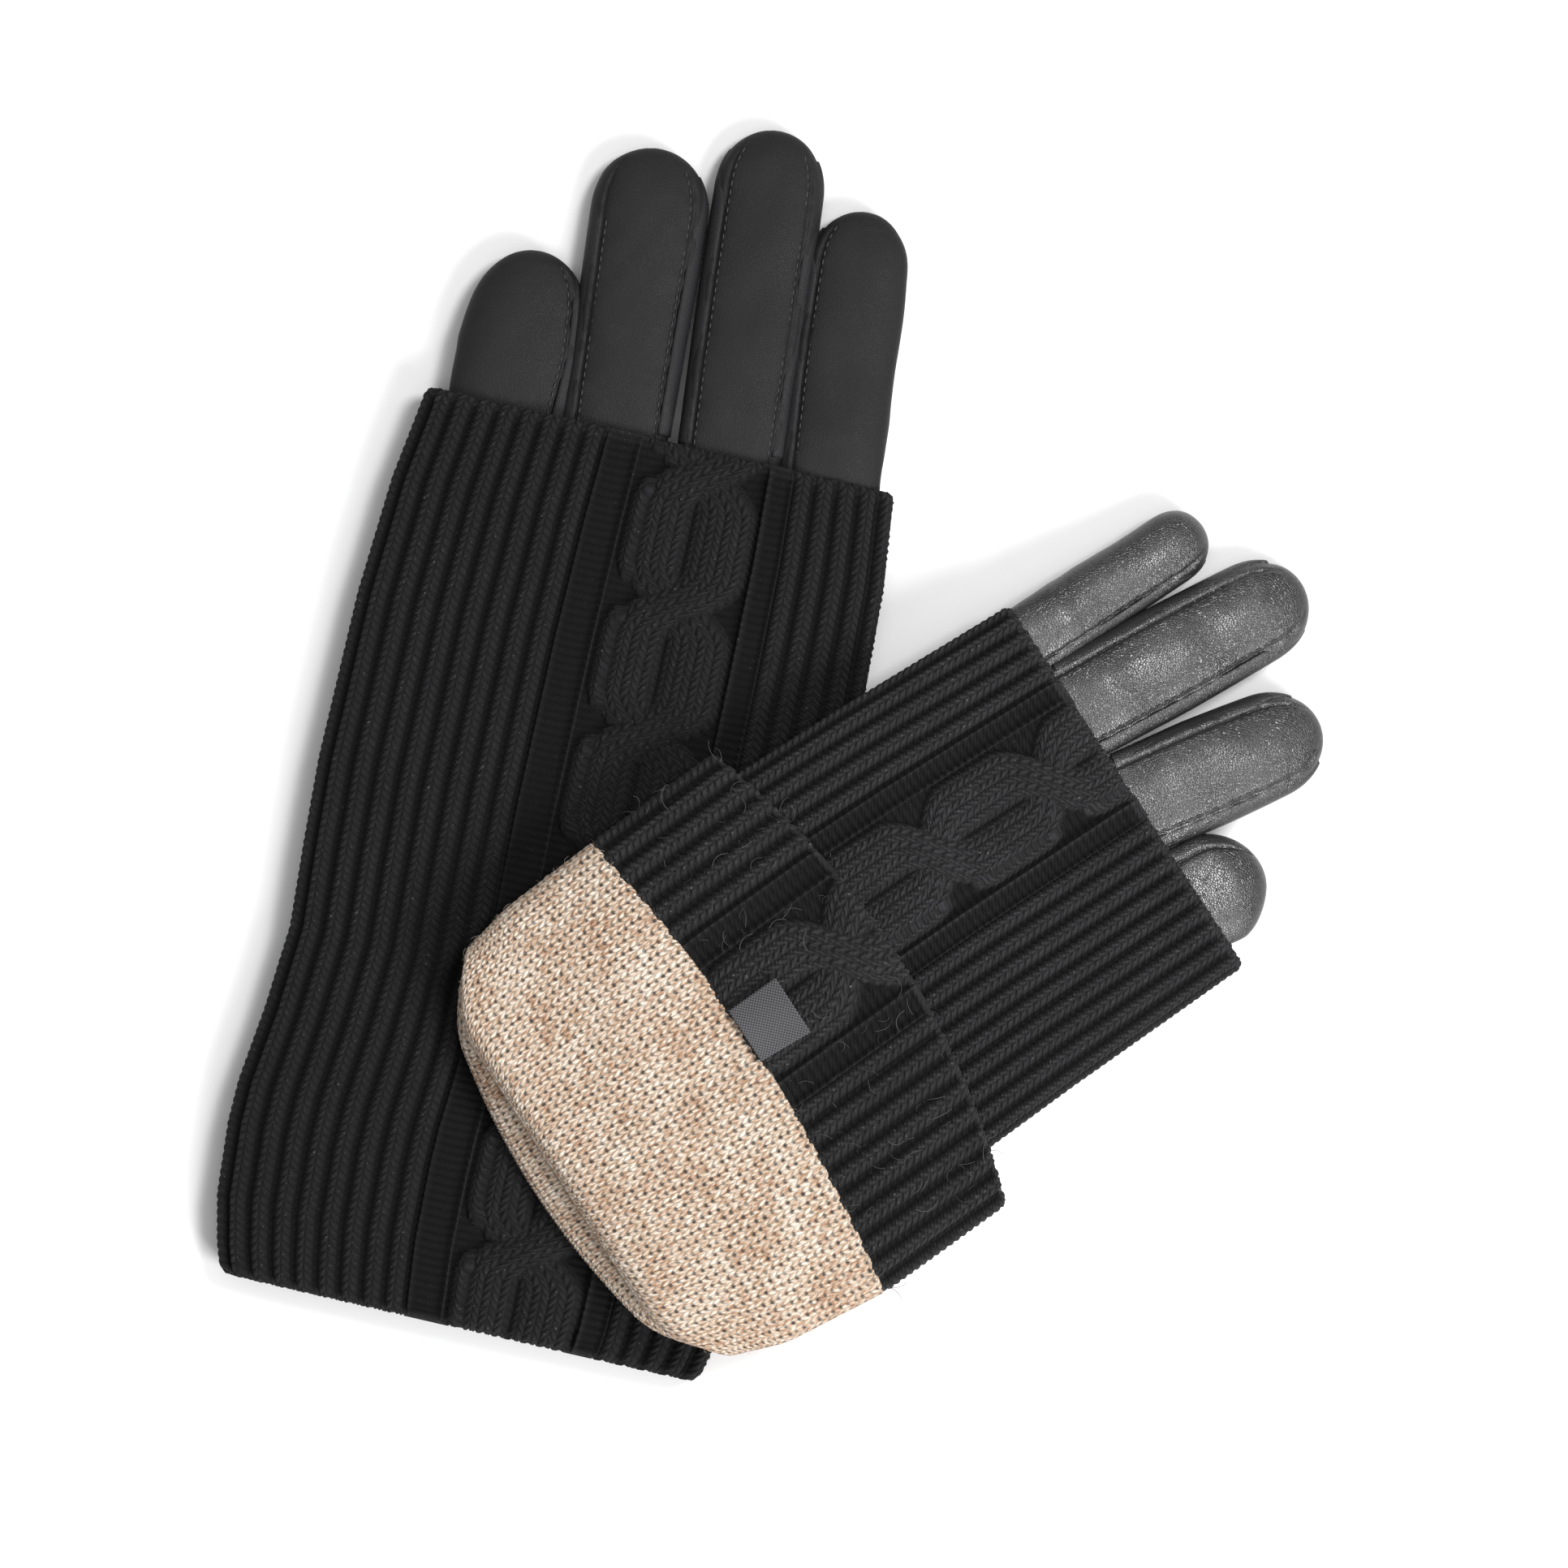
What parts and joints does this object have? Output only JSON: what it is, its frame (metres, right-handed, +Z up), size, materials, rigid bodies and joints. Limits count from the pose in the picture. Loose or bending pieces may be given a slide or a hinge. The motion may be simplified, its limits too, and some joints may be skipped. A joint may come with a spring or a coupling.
{
  "type": "pair of leather gloves with knit over-sleeves",
  "caption": "Pair of lined five-finger leather gloves with ribbed cable-knit over-sleeves; one cuff is turned back to show its beige jersey lining.",
  "frame": {"origin": "middle of the pair's bounding box in plan, on the table", "axes": "+Z up from the table through the gloves lying back up; +Y along the left glove's length within 13 degrees, fingers at +Y; +X towards the right glove's fingers"},
  "size_m": [0.2596, 0.294, 0.0396],
  "materials": {
    "left_glove_leather": "matte smooth dyed nappa",
    "beige_lining": "flecked melange jersey",
    "left_fourchette_leather": "matte smooth dyed nappa strip",
    "turned_hem_knit": "ribbed wool-blend knit",
    "sleeve_knit": "ribbed and cabled wool-blend knit",
    "label_tape": "plain woven tape",
    "right_glove_leather": "semi-gloss smooth dyed nappa",
    "right_fourchette_leather": "semi-gloss smooth dyed nappa strip"
  },
  "bodies": {
    "left_glove": {"left_hand_leather": "left_glove_leather", "left_hand_lining": "beige_lining", "left_sleeve_hem": "turned_hem_knit", "left_sleeve_knit": "sleeve_knit"},
    "right_glove": {"right_hand_leather": "right_glove_leather", "right_hand_lining": "beige_lining", "right_sleeve_knit": "sleeve_knit", "right_lower_cuff_hem": "turned_hem_knit", "right_lower_cuff_knit": "sleeve_knit", "right_lower_cuff_lining": "beige_lining"},
    "right_upper_cuff": {"right_cuff_label": "label_tape", "right_upper_cuff_hem": "turned_hem_knit", "right_upper_cuff_knit": "sleeve_knit", "right_upper_cuff_lining": "beige_lining"},
    "left_index": {"left_index_fourchette_left": "left_fourchette_leather", "left_index_leather": "left_glove_leather", "left_index_lining": "beige_lining"},
    "left_middle": {"left_middle_fourchette_left": "left_fourchette_leather", "left_middle_fourchette_right": "left_fourchette_leather", "left_middle_leather": "left_glove_leather", "left_middle_lining": "beige_lining"},
    "left_ring": {"left_ring_fourchette_left": "left_fourchette_leather", "left_ring_fourchette_right": "left_fourchette_leather", "left_ring_leather": "left_glove_leather", "left_ring_lining": "beige_lining"},
    "left_little": {"left_little_fourchette_right": "left_fourchette_leather", "left_little_leather": "left_glove_leather", "left_little_lining": "beige_lining"},
    "right_index": {"right_index_fourchette_right": "right_fourchette_leather", "right_index_leather": "right_glove_leather", "right_index_lining": "beige_lining"},
    "right_middle": {"right_middle_fourchette_left": "right_fourchette_leather", "right_middle_fourchette_right": "right_fourchette_leather", "right_middle_leather": "right_glove_leather", "right_middle_lining": "beige_lining"},
    "right_ring": {"right_ring_fourchette_left": "right_fourchette_leather", "right_ring_fourchette_right": "right_fourchette_leather", "right_ring_leather": "right_glove_leather", "right_ring_lining": "beige_lining"},
    "right_little": {"right_little_fourchette_left": "right_fourchette_leather", "right_little_leather": "right_glove_leather", "right_little_lining": "beige_lining"},
    "left_thumb": {"left_thumb_leather": "left_glove_leather", "left_thumb_lining": "beige_lining"},
    "right_thumb": {"right_thumb_leather": "right_glove_leather", "right_thumb_lining": "beige_lining"}
  },
  "joints": [
    {"name": "right_glove_lift", "type": "slide", "parent": "left_glove", "child": "right_glove", "axis": [0, 0, 1], "range_m": [0, 0.12]},
    {"name": "right_cuff_turn", "type": "hinge", "parent": "right_glove", "child": "right_upper_cuff", "pos_m": [-0.04873, -0.09245, 0.03485], "axis": [0.5446, -0.8387, 0], "range_deg": [0, 175]},
    {"name": "left_index_lift", "type": "hinge", "parent": "left_glove", "child": "left_index", "pos_m": [0.01365, 0.06626, 0.01606], "axis": [0.9925, -0.1219, 0], "range_deg": [0, 70]},
    {"name": "left_middle_lift", "type": "hinge", "parent": "left_glove", "child": "left_middle", "pos_m": [-0.00988, 0.07148, 0.01607], "axis": [0.9895, -0.1444, 0], "range_deg": [0, 70]},
    {"name": "left_ring_lift", "type": "hinge", "parent": "left_glove", "child": "left_ring", "pos_m": [-0.03642, 0.07747, 0.01608], "axis": [0.9877, -0.1564, 0], "range_deg": [0, 70]},
    {"name": "left_little_lift", "type": "hinge", "parent": "left_glove", "child": "left_little", "pos_m": [-0.0626, 0.08274, 0.01613], "axis": [0.9755, -0.2198, 0], "range_deg": [0, 70]},
    {"name": "right_index_lift", "type": "hinge", "parent": "right_glove", "child": "right_index", "pos_m": [0.06061, 0.02744, 0.02361], "axis": [0.5446, -0.8387, 0], "range_deg": [0, 70]},
    {"name": "right_middle_lift", "type": "hinge", "parent": "right_glove", "child": "right_middle", "pos_m": [0.07215, 0.01133, 0.02342], "axis": [0.4772, -0.8788, 0], "range_deg": [0, 70]},
    {"name": "right_ring_lift", "type": "hinge", "parent": "right_glove", "child": "right_ring", "pos_m": [0.08716, -0.00969, 0.02319], "axis": [0.3907, -0.9205, 0], "range_deg": [0, 70]},
    {"name": "right_little_lift", "type": "hinge", "parent": "right_glove", "child": "right_little", "pos_m": [0.10134, -0.0322, 0.02326], "axis": [0.4226, -0.9063, 0], "range_deg": [0, 70]},
    {"name": "left_thumb_swing", "type": "hinge", "parent": "left_glove", "child": "left_thumb", "pos_m": [-0.00497, -0.00237, 0.002], "axis": [0, 0, 1], "range_deg": [-50, 0]},
    {"name": "right_thumb_swing", "type": "hinge", "parent": "right_glove", "child": "right_thumb", "pos_m": [0.03125, -0.00474, 0.01839], "axis": [0.1692, 0.1099, 0.9794], "range_deg": [0, 45]}
  ]
}
